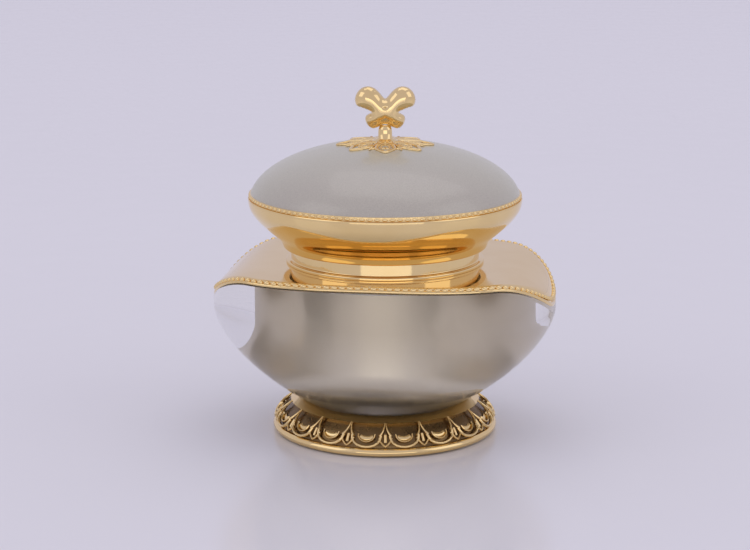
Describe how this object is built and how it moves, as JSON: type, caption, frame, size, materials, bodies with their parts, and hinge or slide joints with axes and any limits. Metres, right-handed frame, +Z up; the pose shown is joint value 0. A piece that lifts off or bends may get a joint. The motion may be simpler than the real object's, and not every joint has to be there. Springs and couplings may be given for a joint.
{
  "type": "cosmetic cream jar",
  "caption": "Round-footed oval cream jar of thick clear plastic over a champagne cup, with a drooping gold shoulder and a screw lid: gold skirt, pearl dome, rosette and butterfly knob.",
  "frame": {"origin": "centre of the underside, on the surface that the jar stands on", "axes": "+Z up through the middle of the mouth and lid, +X towards one of the bowl's two tips, +Y across the bowl"},
  "size_m": [0.0794, 0.0632, 0.0804],
  "materials": {
    "gold": "mirror-bright gold electroplating on ABS",
    "clear_acrylic": "thick polished clear acrylic",
    "champagne": "satin champagne metallising",
    "pearl": "pearl grey-white lacquer, glossy",
    "white_pp": "moulded white polypropylene",
    "black_plastic": "moulded black ABS, fine texture",
    "liner_foam": "smooth foamed polyethylene wad",
    "silicone": "translucent silicone",
    "foot_rubber": "matt anti-slip rubber",
    "steel": "plain zinc-plated steel"
  },
  "bodies": {
    "jar": {"base_shell": "gold", "base_lace": "gold", "base_weight": "steel", "base_plate": "black_plastic", "foot_pad": "foot_rubber", "outer_bowl": "clear_acrylic", "champagne_cup": "champagne", "inner_cup": "white_pp", "flange_gasket": "silicone", "shoulder_plate": "gold", "shoulder_beads": "gold", "neck_collar": "gold"},
    "disc": {"sealing_disc": "white_pp"},
    "liner": {"lid_liner": "liner_foam"},
    "lid": {"lid_skirt": "gold", "lid_bead_ring": "gold", "lid_dome": "pearl", "inner_cap": "white_pp", "lid_weight": "steel", "rosette": "gold", "butterfly_knob": "gold", "knob_washer": "steel", "knob_screw": "steel"}
  },
  "joints": [
    {"name": "lid_lift", "type": "slide", "parent": "jar", "child": "liner", "axis": [0, 0, 1], "range_m": [0, 0.009]},
    {"name": "lid_turn", "type": "hinge", "parent": "liner", "child": "lid", "pos_m": [0, 0, 0.0437], "axis": [0, 0, 1], "range_deg": [0, 540]},
    {"name": "disc_lift", "type": "slide", "parent": "jar", "child": "disc", "axis": [0, 0, 1], "range_m": [0, 0.0012]}
  ],
  "couplings": [
    {"joint": "lid_lift", "follows": "lid_turn", "m_per_rad": 0.0009549}
  ]
}
